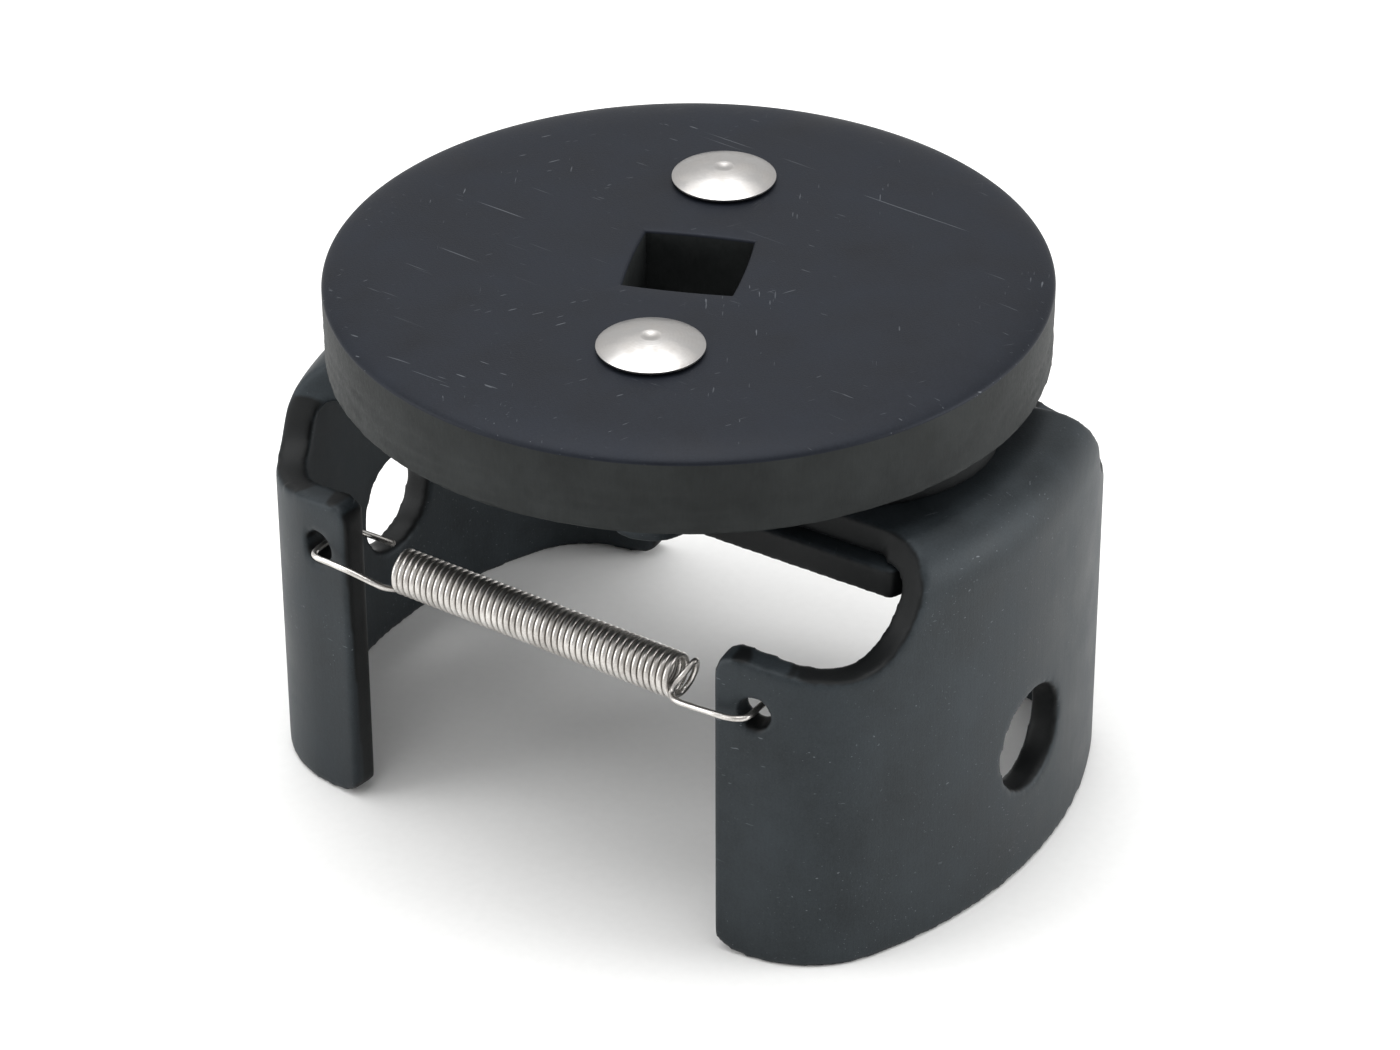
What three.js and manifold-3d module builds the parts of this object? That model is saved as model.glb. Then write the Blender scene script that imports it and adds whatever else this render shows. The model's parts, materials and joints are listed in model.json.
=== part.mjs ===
import * as THREE from "three";
import { mergeVertices } from "three/addons/utils/BufferGeometryUtils.js";
import Module from "manifold-3d";

// Oil filter wrench: a thick round drive disc with a half-inch square hole, two riveted
// jaws bent from plate that swing on the rivets, and an extension spring on each side that
// pulls the jaws together. Millimetres, +Z up, legs standing on Z = 0, drive axis on Z.

const wasm = await Module();
wasm.setup();

// Drive disc
const DISC_RADIUS = 42.3;
const DISC_THICKNESS = 10.4;
const DISC_TOP = 66;
const EDGE_ROLL_ACROSS = 8;
const EDGE_ROLL_DOWN = 1.6;
const DRIVE_SQUARE = 12.9;
const DRIVE_EDGE_BOW = 0.25;

// Rivets
const RIVET_OFFSET = 20.4;
const RIVET_SHANK_RADIUS = 3.2;
const RIVET_HOLE_RADIUS = 3.5;
const RIVET_HEAD_RADIUS = 6.2;
const RIVET_HEAD_HEIGHT = 1.9;
const RIVET_TAIL_RADIUS = 5.4;
const RIVET_TAIL_HEIGHT = 1.3;
const FLUSH_TAIL_RADIUS = 4.3;
const FLUSH_TAIL_DEPTH = 1.4;

// Spacer plate under the disc
const SPACER_TOP = 55.4;
const SPACER_THICKNESS = 3.8;
const SPACER_HALF_LENGTH = 40.3;
const SPACER_HALF_WIDTH = 25;
const SPACER_TURN = -24;
const SPACER_DRIVE_CLEARANCE = 10;

// Jaws, in their own frame: u runs out from the drive axis to the wall, w runs across
const PLATE = 3.8;
const JAW_TURN = -21.4;
const JAW_SIDE_SHIFT = -0.75;
const JAW_REACH = 48;
const WALL_RADIUS = 58;
const CORNER_RADIUS = 14.1;
const HALF_WIDTH = 33.4;
const LEG_SPLAY = 8;
const LEG_END = 25.9;
const TOP_BEND_RADIUS = 6;
const RIGHT_TONGUE_TOP = 51.4;
const LEFT_TONGUE_TOP = 47.4;
const TONGUE_HALF_WIDTH = 16.2;
const TONGUE_END_RADIUS = 51.6;
const TONGUE_FAR_EDGE = 19.6;
const TONGUE_FAR_GAP = 5.6;
const EYE_RADIUS = 5.2;
const WALL_CUT_OUT = 3;
const WALL_CUT_IN = 8;
const JAW_SWING = 24;
const DRIVE_CLEARANCE = 9.3;
const FACET_TURN = 2;

// Holes in the jaw walls
const WALL_HOLE_RADIUS = 6.45;
const WALL_HOLE_HEIGHT = 18;
const SPRING_HOLE_RADIUS = 2;
const SPRING_HOLE_HEIGHT = 33.8;
const SPRING_HOLE_FROM_EDGE = 4.6;

// Springs
const WIRE_RADIUS = 0.37;
const COIL_MEAN_RADIUS = 2.4;
const COIL_START = 11;
const COIL_END_GAP = 10.5;
const COIL_TURNS = 46.5;
const HOOK_GAP = 0.4;

const blackOxide = new THREE.MeshStandardMaterial({ color: "#3b3e45", roughness: 0.6, metalness: 0.7 });
const blackPlate = new THREE.MeshStandardMaterial({ color: "#3f4446", roughness: 0.62, metalness: 0.6 });
const rivetSteel = new THREE.MeshStandardMaterial({ color: "#d6d3d2", roughness: 0.3, metalness: 1 });
const springSteel = new THREE.MeshStandardMaterial({ color: "#9a9692", roughness: 0.35, metalness: 1 });

const radians = THREE.MathUtils.degToRad;

function toSolid(geometry) {
  const bare = geometry.clone();
  bare.deleteAttribute("normal");
  bare.deleteAttribute("uv");
  const merged = mergeVertices(bare, 1e-4);
  const triVerts = new Uint32Array(merged.index.array);
  const vertProperties = new Float32Array(merged.attributes.position.array);
  if (signedVolume(vertProperties, triVerts) < 0) {
    for (let i = 0; i < triVerts.length; i += 3) {
      [triVerts[i + 1], triVerts[i + 2]] = [triVerts[i + 2], triVerts[i + 1]];
    }
  }
  return new wasm.Manifold(new wasm.Mesh({ numProp: 3, vertProperties, triVerts }));
}

function signedVolume(positions, triangles) {
  const corners = [new THREE.Vector3(), new THREE.Vector3(), new THREE.Vector3()];
  let sum = 0;
  for (let i = 0; i < triangles.length; i += 3) {
    for (let k = 0; k < 3; k += 1) {
      corners[k].fromArray(positions, triangles[i + k] * 3);
    }
    sum += corners[0].dot(corners[1].cross(corners[2]));
  }
  return sum / 6;
}

function toGeometry(solid) {
  const mesh = solid.getMesh();
  const geometry = new THREE.BufferGeometry();
  geometry.setAttribute("position", new THREE.BufferAttribute(mesh.vertProperties, 3));
  geometry.setIndex(new THREE.BufferAttribute(mesh.triVerts, 1));
  const flat = geometry.toNonIndexed();
  flat.computeVertexNormals();
  return flat;
}

function join(...solids) {
  return solids.reduce((all, next) => all.add(next));
}

function cut(base, ...tools) {
  return tools.reduce((left, tool) => left.subtract(tool), base);
}

// A flat outline raised from height low to height high.
function slab(shape, low, high, curveSegments = 12) {
  const geometry = new THREE.ExtrudeGeometry(shape, {
    depth: high - low,
    bevelEnabled: false,
    curveSegments,
  });
  geometry.translate(0, 0, low);
  return toSolid(geometry);
}

function box(minimum, maximum) {
  const size = new THREE.Vector3().subVectors(maximum, minimum);
  const geometry = new THREE.BoxGeometry(size.x, size.y, size.z);
  geometry.translate(minimum.x + size.x / 2, minimum.y + size.y / 2, minimum.z + size.z / 2);
  return toSolid(geometry);
}

// An upright round bar centred on (x, y), used as a drill.
function drill(x, y, radius, low, high) {
  const geometry = new THREE.CylinderGeometry(radius, radius, high - low, 32);
  geometry.rotateX(Math.PI / 2);
  geometry.translate(x, y, (low + high) / 2);
  return toSolid(geometry);
}

function turned(profile, segments) {
  const geometry = new THREE.LatheGeometry([...profile, profile[0]], segments);
  geometry.rotateX(Math.PI / 2);
  return toSolid(geometry);
}

function arcPoints(centreX, centreY, radius, from, to, steps) {
  const points = [];
  for (let i = 0; i <= steps; i += 1) {
    const angle = radians(from + ((to - from) * i) / steps);
    points.push(new THREE.Vector2(centreX + radius * Math.cos(angle), centreY + radius * Math.sin(angle)));
  }
  return points;
}

// --- Drive disc -----------------------------------------------------------------

function driveSquareShape() {
  const half = DRIVE_SQUARE / 2;
  const bow = half + 2 * DRIVE_EDGE_BOW;
  const shape = new THREE.Shape();
  shape.moveTo(-half, -half);
  shape.quadraticCurveTo(0, -bow, half, -half);
  shape.quadraticCurveTo(bow, 0, half, half);
  shape.quadraticCurveTo(0, bow, -half, half);
  shape.quadraticCurveTo(-bow, 0, -half, -half);
  return shape;
}

function buildDisc() {
  const bottom = DISC_TOP - DISC_THICKNESS;
  const profile = [new THREE.Vector2(0, bottom), new THREE.Vector2(DISC_RADIUS - 0.3, bottom)];
  profile.push(new THREE.Vector2(DISC_RADIUS, bottom + 0.3));
  const rollStart = DISC_RADIUS - EDGE_ROLL_ACROSS;
  for (let i = 0; i <= 8; i += 1) {
    const angle = (Math.PI / 2) * (i / 8);
    profile.push(
      new THREE.Vector2(
        rollStart + EDGE_ROLL_ACROSS * Math.cos(angle),
        DISC_TOP - EDGE_ROLL_DOWN + EDGE_ROLL_DOWN * Math.sin(angle),
      ),
    );
  }
  profile.push(new THREE.Vector2(0, DISC_TOP));
  const blank = turned(profile, 96);
  return cut(
    blank,
    slab(driveSquareShape(), bottom - 1, DISC_TOP + 1),
    drill(0, RIVET_OFFSET, RIVET_HOLE_RADIUS, bottom - 1, DISC_TOP + 1),
    drill(0, -RIVET_OFFSET, RIVET_HOLE_RADIUS, bottom - 1, DISC_TOP + 1),
  );
}

function buildSpacer() {
  const low = SPACER_TOP - SPACER_THICKNESS;
  const outline = new THREE.Shape();
  outline.absellipse(0, 0, SPACER_HALF_LENGTH, SPACER_HALF_WIDTH, 0, Math.PI * 2, false, radians(SPACER_TURN));
  return cut(
    slab(outline, low, SPACER_TOP, 48),
    drill(0, 0, SPACER_DRIVE_CLEARANCE, low - 1, SPACER_TOP + 1),
    drill(0, RIVET_OFFSET, RIVET_HOLE_RADIUS, low - 1, SPACER_TOP + 1),
    drill(0, -RIVET_OFFSET, RIVET_HOLE_RADIUS, low - 1, SPACER_TOP + 1),
  );
}

function buildRivet(tailProfile) {
  const seat = DISC_TOP + 0.25;
  const rim = seat + 0.45;
  const top = DISC_TOP + RIVET_HEAD_HEIGHT;
  const profile = [...tailProfile];
  profile.push(new THREE.Vector2(RIVET_SHANK_RADIUS, seat));
  profile.push(new THREE.Vector2(RIVET_HEAD_RADIUS - 0.15, seat));
  profile.push(new THREE.Vector2(RIVET_HEAD_RADIUS, seat + 0.15));
  profile.push(new THREE.Vector2(RIVET_HEAD_RADIUS, rim));
  for (let i = 1; i <= 6; i += 1) {
    const across = 1 - i / 7;
    profile.push(new THREE.Vector2(RIVET_HEAD_RADIUS * across, rim + (top - rim) * (1 - across * across)));
  }
  profile.push(new THREE.Vector2(0, top - 0.06));
  return turned(profile, 40);
}

// A tail spread under the lowest tongue.
function spreadTail() {
  const high = LEFT_TONGUE_TOP - PLATE - 0.25;
  const low = high - RIVET_TAIL_HEIGHT;
  return [
    new THREE.Vector2(0, low),
    new THREE.Vector2(RIVET_TAIL_RADIUS - 0.6, low),
    new THREE.Vector2(RIVET_TAIL_RADIUS, low + 0.6),
    new THREE.Vector2(RIVET_TAIL_RADIUS, high),
    new THREE.Vector2(RIVET_SHANK_RADIUS, high),
  ];
}

// A tail spread flush inside the lowest tongue's countersunk eye.
function flushTail() {
  const low = LEFT_TONGUE_TOP - PLATE + 0.15;
  return [
    new THREE.Vector2(0, low),
    new THREE.Vector2(FLUSH_TAIL_RADIUS, low),
    new THREE.Vector2(RIVET_SHANK_RADIUS, low + FLUSH_TAIL_DEPTH),
  ];
}

// --- Jaws -------------------------------------------------------------------------

// Where the wall's corner arc is centred, and the angle at which it takes over from the wall.
function cornerPlan() {
  const across = HALF_WIDTH - CORNER_RADIUS;
  const wallCentre = JAW_REACH - WALL_RADIUS;
  const along = wallCentre + Math.sqrt((WALL_RADIUS - CORNER_RADIUS) ** 2 - across ** 2);
  const start = THREE.MathUtils.radToDeg(Math.atan2(across, along - wallCentre));
  return { wallCentre, along, across, start };
}

// The wall's plan line from the middle of the wall round the corner to the leg's end,
// moved inward by inset.
function halfWallLine(inset) {
  const { wallCentre, along, across, start } = cornerPlan();
  const points = [];
  const facets = Math.floor(start / FACET_TURN);
  points.push(...arcPoints(wallCentre, 0, WALL_RADIUS - inset, 0, facets * FACET_TURN, facets));
  points.push(...arcPoints(along, across, CORNER_RADIUS - inset, start, 90 - LEG_SPLAY, 10));
  const last = points[points.length - 1];
  const run = last.x - LEG_END;
  points.push(new THREE.Vector2(LEG_END, last.y + run * Math.tan(radians(LEG_SPLAY))));
  return points;
}

function wallLine(inset) {
  const half = halfWallLine(inset);
  const other = half.slice(1).reverse();
  return [...other.map((point) => new THREE.Vector2(point.x, -point.y)), ...half];
}

// The middle of a spring hole in plan, on the side of the jaw given by side (1 or -1).
function springHolePoint(side) {
  const line = halfWallLine(PLATE / 2);
  const end = line[line.length - 1];
  const back = radians(LEG_SPLAY);
  return new THREE.Vector2(
    end.x + SPRING_HOLE_FROM_EDGE * Math.cos(back),
    side * (end.y - SPRING_HOLE_FROM_EDGE * Math.sin(back)),
  );
}

// On an arc of the wall's outer line, the place where (u - w) / √2 equals t.
function arcPlace(centreX, centreY, radius, t) {
  const reach = (t * Math.SQRT2 - centreX + centreY) / (radius * Math.SQRT2);
  const turn = Math.acos(THREE.MathUtils.clamp(reach, -1, 1)) - Math.PI / 4;
  return { x: centreX + radius * Math.cos(turn), y: centreY + radius * Math.sin(turn), turn };
}

// The place and outward angle on the wall's outer line where (u - w) / √2 equals t.
function wallPlace(t) {
  const { wallCentre, along, across, start } = cornerPlan();
  const onWall = arcPlace(wallCentre, 0, WALL_RADIUS, t);
  if (onWall.turn <= radians(start)) {
    return onWall;
  }
  const onCorner = arcPlace(along, across, CORNER_RADIUS, t);
  const last = radians(90 - LEG_SPLAY);
  if (onCorner.turn <= last) {
    return onCorner;
  }
  const endX = along + CORNER_RADIUS * Math.cos(last);
  const endY = across + CORNER_RADIUS * Math.sin(last);
  const splay = radians(LEG_SPLAY);
  const back = (endX - endY - t * Math.SQRT2) / (Math.cos(splay) + Math.sin(splay));
  return { x: endX - back * Math.cos(splay), y: endY + back * Math.sin(splay), turn: last };
}

// A tool that cuts the wall square to its surface, from an outline of (t, height) to a far
// height, on the side of the jaw given by side (1 or -1).
function wallCutter(outline, farHeight, side) {
  const positions = [];
  for (const { x: t, y: height } of outline) {
    const place = wallPlace(t);
    for (const [out, z] of [
      [WALL_CUT_OUT, height],
      [WALL_CUT_OUT, farHeight],
      [-WALL_CUT_IN, farHeight],
      [-WALL_CUT_IN, height],
    ]) {
      positions.push(place.x + out * Math.cos(place.turn), side * (place.y + out * Math.sin(place.turn)), z);
    }
  }
  const last = (outline.length - 1) * 4;
  const index = [0, 2, 1, 0, 3, 2, last, last + 1, last + 2, last, last + 2, last + 3];
  for (let first = 0; first < last; first += 4) {
    for (let k = 0; k < 4; k += 1) {
      const next = (k + 1) % 4;
      index.push(first + k, first + next, first + 4 + next, first + k, first + 4 + next, first + 4 + k);
    }
  }
  const geometry = new THREE.BufferGeometry();
  geometry.setAttribute("position", new THREE.Float32BufferAttribute(positions, 3));
  geometry.setIndex(index);
  return toSolid(geometry);
}

// The notch's lower edge from the leg's end round the corner and up to the tongue.
function notchLine(tongueTop) {
  const rise = (share) => 42.3 + share * (tongueTop - 42.3);
  const curve = new THREE.SplineCurve([
    new THREE.Vector2(-5.3, 39.9),
    new THREE.Vector2(-3.9, 40.6),
    new THREE.Vector2(-0.1, 40),
    new THREE.Vector2(3.4, 39.3),
    new THREE.Vector2(6.9, 38.9),
    new THREE.Vector2(10, 38.9),
    new THREE.Vector2(12.9, 39.9),
    new THREE.Vector2(15.3, rise(0)),
    new THREE.Vector2(16.9, rise(0.36)),
    new THREE.Vector2(18, rise(0.72)),
    new THREE.Vector2(18.6, rise(0.9)),
    new THREE.Vector2(18.8, rise(1.07)),
  ]);
  return [new THREE.Vector2(-9, 37.6), new THREE.Vector2(-5.9, 37.6), ...curve.getPoints(36)];
}

// The foot's upper edge of waste where the leg's lower corner is rounded off.
function footLine() {
  const curve = new THREE.QuadraticBezierCurve(
    new THREE.Vector2(-5.9, 3.2),
    new THREE.Vector2(-5.6, 0.2),
    new THREE.Vector2(-2.8, 0),
  );
  return [new THREE.Vector2(-9, 3.2), ...curve.getPoints(8)];
}

function arcSlot(centre, radius, from, to, halfWidth) {
  const path = new THREE.Path();
  path.setFromPoints([
    ...arcPoints(centre.x, centre.y, radius + halfWidth, from, to, 10),
    ...capPoints(centre, radius, to, halfWidth, 1),
    ...arcPoints(centre.x, centre.y, radius - halfWidth, to, from, 10),
    ...capPoints(centre, radius, from, halfWidth, -1),
  ]);
  return path;
}

// The round end of a slot at the given angle; way is 1 at the end reached, -1 at the start.
function capPoints(centre, radius, angle, halfWidth, way) {
  const x = centre.x + radius * Math.cos(radians(angle));
  const y = centre.y + radius * Math.sin(radians(angle));
  const from = way > 0 ? angle : angle + 180;
  return arcPoints(x, y, halfWidth, from, from + 180, 10).slice(1, -1);
}

// The middle of the eye that turns on the rivet, in the jaw's own frame.
function eyeCentre() {
  const turn = radians(JAW_TURN);
  return new THREE.Vector2(
    RIVET_OFFSET * Math.sin(turn),
    RIVET_OFFSET * Math.cos(turn) - JAW_SIDE_SHIFT,
  );
}

function tongueShape() {
  const pivot = eyeCentre();
  const wallCentre = JAW_REACH - WALL_RADIUS;
  const endTurn = THREE.MathUtils.radToDeg(Math.asin(TONGUE_HALF_WIDTH / TONGUE_END_RADIUS));
  // The far end follows the inside of the other jaw's wall.
  const farRadius = WALL_RADIUS - TONGUE_FAR_GAP;
  const farCentre = new THREE.Vector2(-wallCentre, -2 * JAW_SIDE_SHIFT);
  const farTurn = THREE.MathUtils.radToDeg(Math.asin((TONGUE_FAR_EDGE - farCentre.y) / farRadius));
  const shape = new THREE.Shape();
  shape.setFromPoints([
    ...arcPoints(wallCentre, 0, TONGUE_END_RADIUS, -endTurn, endTurn, 18),
    new THREE.Vector2(16, TONGUE_HALF_WIDTH),
  ]);
  shape.splineThru([new THREE.Vector2(8, 17.2), new THREE.Vector2(1, 18.6)]);
  for (const point of arcPoints(pivot.x, pivot.y, EYE_RADIUS, 0, 180, 16)) {
    shape.lineTo(point.x, point.y);
  }
  for (const point of arcPoints(farCentre.x, farCentre.y, farRadius, 180 - farTurn, 184, 14)) {
    shape.lineTo(point.x, point.y);
  }
  shape.quadraticCurveTo(-41, -16, -26, -20);
  shape.splineThru([
    new THREE.Vector2(-20, -24.6),
    new THREE.Vector2(-13, -28.6),
    new THREE.Vector2(-4, -29.4),
    new THREE.Vector2(7.5, -26.8),
    new THREE.Vector2(14.5, -23),
    new THREE.Vector2(22, -17.2),
    new THREE.Vector2(27, -TONGUE_HALF_WIDTH),
  ]);
  // With the jaw at rest the far rivet stands at this angle round the pivot.
  const rest = -90 - JAW_TURN;
  const eye = new THREE.Path(arcPoints(pivot.x, pivot.y, RIVET_HOLE_RADIUS, 0, 350, 35));
  shape.holes.push(eye);
  const open = rest - JAW_SWING;
  shape.holes.push(arcSlot(pivot, RIVET_OFFSET * 2, open, rest, RIVET_HOLE_RADIUS));
  shape.holes.push(arcSlot(pivot, RIVET_OFFSET, open - 1, rest + 1, DRIVE_CLEARANCE));
  return shape;
}

// The rounded bend from the tongue down into the wall, as a ring about the wall's own centre.
function bendRing(tongueTop, low) {
  const middle = WALL_RADIUS - TOP_BEND_RADIUS;
  const height = tongueTop - TOP_BEND_RADIUS;
  const inner = WALL_RADIUS - WALL_CUT_IN + 0.3;
  const profile = [new THREE.Vector2(WALL_RADIUS, low)];
  profile.push(...arcPoints(middle, height, TOP_BEND_RADIUS, 0, 90, 8));
  profile.push(new THREE.Vector2(inner, tongueTop));
  profile.push(new THREE.Vector2(inner, tongueTop - PLATE));
  profile.push(...arcPoints(middle, height, TOP_BEND_RADIUS - PLATE, 90, 0, 6));
  profile.push(new THREE.Vector2(WALL_RADIUS - PLATE, low));
  const geometry = new THREE.LatheGeometry([...profile, profile[0]], 360 / FACET_TURN);
  geometry.rotateX(Math.PI / 2);
  geometry.translate(JAW_REACH - WALL_RADIUS, 0, 0);
  return toSolid(geometry);
}

function sideDrill(point, direction, radius, height) {
  const geometry = new THREE.CylinderGeometry(radius, radius, 16, 32);
  const turn = new THREE.Quaternion().setFromUnitVectors(new THREE.Vector3(0, 1, 0), direction);
  geometry.applyQuaternion(turn);
  geometry.translate(point.x, point.y, height);
  return toSolid(geometry);
}

function buildJaw(tongueTop, ...eyeTools) {
  const wallTop = tongueTop - TOP_BEND_RADIUS;
  const band = new THREE.Shape([...wallLine(0), ...wallLine(PLATE).reverse()]);
  const notches = [1, -1].map((side) => wallCutter(notchLine(tongueTop), 70, side));
  const feet = [1, -1].map((side) => wallCutter(footLine(), -1, side));
  const wall = cut(slab(band, 0, wallTop), ...notches, ...feet);
  const reach = box(new THREE.Vector3(36, -24, wallTop - 1), new THREE.Vector3(60, 24, tongueTop + 1));
  const bend = cut(bendRing(tongueTop, wallTop - 1).intersect(reach), ...notches);
  const tongue = slab(tongueShape(), tongueTop - PLATE, tongueTop, 4);
  const wallHole = sideDrill(
    new THREE.Vector2(JAW_REACH - PLATE / 2, 0),
    new THREE.Vector3(1, 0, 0),
    WALL_HOLE_RADIUS,
    WALL_HOLE_HEIGHT,
  );
  const springHoles = [1, -1].map((side) => {
    const normal = new THREE.Vector3(Math.sin(radians(LEG_SPLAY)), side * Math.cos(radians(LEG_SPLAY)), 0);
    return sideDrill(springHolePoint(side), normal, SPRING_HOLE_RADIUS, SPRING_HOLE_HEIGHT);
  });
  return cut(join(wall, bend, tongue), wallHole, ...springHoles, ...eyeTools);
}

// The countersink under the left tongue's eye.
function countersink() {
  const low = LEFT_TONGUE_TOP - PLATE;
  const wide = FLUSH_TAIL_RADIUS + 0.45;
  const eye = eyeCentre();
  const geometry = new THREE.LatheGeometry(
    [
      new THREE.Vector2(0, low - 1),
      new THREE.Vector2(wide, low - 1),
      new THREE.Vector2(wide, low),
      new THREE.Vector2(RIVET_HOLE_RADIUS, low + FLUSH_TAIL_DEPTH + 0.2),
      new THREE.Vector2(0, low + FLUSH_TAIL_DEPTH + 0.2),
      new THREE.Vector2(0, low - 1),
    ],
    40,
  );
  geometry.rotateX(Math.PI / 2);
  geometry.translate(eye.x, eye.y, 0);
  return toSolid(geometry);
}

// --- Springs ----------------------------------------------------------------------

function wire(points, sides, steps) {
  const section = new THREE.Shape(arcPoints(0, 0, WIRE_RADIUS, 0, 360 - 360 / sides, sides - 1));
  const geometry = new THREE.ExtrudeGeometry(section, {
    steps,
    bevelEnabled: false,
    extrudePath: new THREE.CatmullRomCurve3(points),
  });
  return toGeometry(toSolid(geometry));
}

class Helix extends THREE.Curve {
  constructor(start, end, turns) {
    super();
    this.start = start;
    this.end = end;
    this.turns = turns;
  }

  getPoint(t, target = new THREE.Vector3()) {
    const angle = -Math.PI / 2 + t * this.turns * Math.PI * 2;
    return target.set(
      this.start + (this.end - this.start) * t,
      COIL_MEAN_RADIUS * Math.cos(angle),
      COIL_MEAN_RADIUS * Math.sin(angle),
    );
  }
}

function coilGeometry(length) {
  const sides = 5;
  const section = new THREE.Shape(arcPoints(0, 0, WIRE_RADIUS, 0, 360 - 360 / sides, sides - 1));
  const geometry = new THREE.ExtrudeGeometry(section, {
    steps: COIL_TURNS * 10,
    bevelEnabled: false,
    extrudePath: new Helix(COIL_START, length - COIL_END_GAP, COIL_TURNS),
  });
  return toGeometry(toSolid(geometry));
}

// Hook at the start of the spring: along the outside of the leg, through its hole and back.
function nearHookGeometry() {
  return wire(
    [
      new THREE.Vector3(COIL_START - 0.15, -HOOK_GAP, -COIL_MEAN_RADIUS),
      new THREE.Vector3(COIL_START - 0.9, -1.7, -2),
      new THREE.Vector3(COIL_START - 2.2, -2.9, -1.1),
      new THREE.Vector3(6.2, -3.5, -0.2),
      new THREE.Vector3(3, -3.55, 0),
      new THREE.Vector3(0.9, -3.4, 0),
      new THREE.Vector3(0.1, -2.4, 0),
      new THREE.Vector3(0, 0, 0),
      new THREE.Vector3(0.1, 2.4, 0),
      new THREE.Vector3(1.1, 3.5, 0.1),
      new THREE.Vector3(4, 3.4, 0.4),
      new THREE.Vector3(7.4, 3, 0.8),
    ],
    8,
    48,
  );
}

function farHookGeometry(length) {
  return wire(
    [
      new THREE.Vector3(length - COIL_END_GAP + 0.15, -HOOK_GAP, COIL_MEAN_RADIUS),
      new THREE.Vector3(length - 9.7, -1.8, 1.9),
      new THREE.Vector3(length - 8.6, -3, 0.9),
      new THREE.Vector3(length - 6.4, -3.55, 0.1),
      new THREE.Vector3(length - 4.4, -3.65, 0),
      new THREE.Vector3(length - 2.4, -3.55, -0.2),
      new THREE.Vector3(length - 0.8, -3.3, 0),
      new THREE.Vector3(length, -2.3, 0),
      new THREE.Vector3(length, 0, 0),
      new THREE.Vector3(length - 0.1, 2.4, 0),
      new THREE.Vector3(length - 1.1, 3.5, 0.1),
      new THREE.Vector3(length - 5.4, 3.3, 0.4),
    ],
    8,
    44,
  );
}

// --- The assembly ------------------------------------------------------------------

const group = new THREE.Group();

function addMesh(parent, name, geometry, material) {
  const mesh = new THREE.Mesh(geometry, material);
  mesh.name = name;
  parent.add(mesh);
  return mesh;
}

function jawFrame(halfTurns) {
  const frame = new THREE.Group();
  frame.rotation.z = radians(JAW_TURN + 180 * halfTurns);
  group.add(frame);
  return frame;
}

addMesh(group, "drive_disc", toGeometry(buildDisc()), blackOxide);
addMesh(group, "spacer_plate", toGeometry(buildSpacer()), blackOxide);

const rearRivet = toGeometry(buildRivet(spreadTail()));
const frontRivet = toGeometry(buildRivet(flushTail()));
addMesh(group, "rear_rivet", rearRivet, rivetSteel).position.y = RIVET_OFFSET;
addMesh(group, "front_rivet", frontRivet, rivetSteel).position.y = -RIVET_OFFSET;

const rightFrame = jawFrame(0);
const leftFrame = jawFrame(1);
const rightJaw = toGeometry(buildJaw(RIGHT_TONGUE_TOP));
const leftJaw = toGeometry(buildJaw(LEFT_TONGUE_TOP, countersink()));
addMesh(rightFrame, "right_jaw", rightJaw, blackPlate).position.y = JAW_SIDE_SHIFT;
addMesh(leftFrame, "left_jaw", leftJaw, blackPlate).position.y = JAW_SIDE_SHIFT;

// Each spring runs from a hole in one jaw to the facing hole in the other. In the right
// jaw's frame the front holes are one at each end of a line across the drive axis.
const nearSide = springHolePoint(-1);
const farSide = springHolePoint(1);
const springStart = new THREE.Vector3(-farSide.x, -(farSide.y + JAW_SIDE_SHIFT), SPRING_HOLE_HEIGHT);
const springEnd = new THREE.Vector3(nearSide.x, nearSide.y + JAW_SIDE_SHIFT, SPRING_HOLE_HEIGHT);
const springLength = springStart.distanceTo(springEnd);
const springTurn = Math.atan2(springEnd.y - springStart.y, springEnd.x - springStart.x);

function addSpring(frame, label) {
  const spring = new THREE.Group();
  spring.position.copy(springStart);
  spring.rotation.z = springTurn;
  frame.add(spring);
  addMesh(spring, `${label}_spring_coil`, coilGeometry(springLength), springSteel);
  addMesh(spring, `${label}_spring_near_hook`, nearHookGeometry(), springSteel);
  addMesh(spring, `${label}_spring_far_hook`, farHookGeometry(springLength), springSteel);
}

addSpring(rightFrame, "front");
addSpring(leftFrame, "rear");

export default group;
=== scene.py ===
"""Looks for the oil filter wrench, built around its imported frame.

The wrench is a thick round drive disc with a half-inch square hole, a spacer plate, two jaws
pressed from plate that swing on two rivets, and an extension spring on each side.  Lengths in
the dataclasses are millimetres, and metres once they are in a mesh.
"""

import json
import logging
import math
from dataclasses import dataclass, field
from enum import Enum
from typing import Any, Mapping, Optional, Sequence

import bmesh
import bpy
import numpy as np
from mathutils import Matrix, Vector
from mathutils.bvhtree import BVHTree


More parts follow.
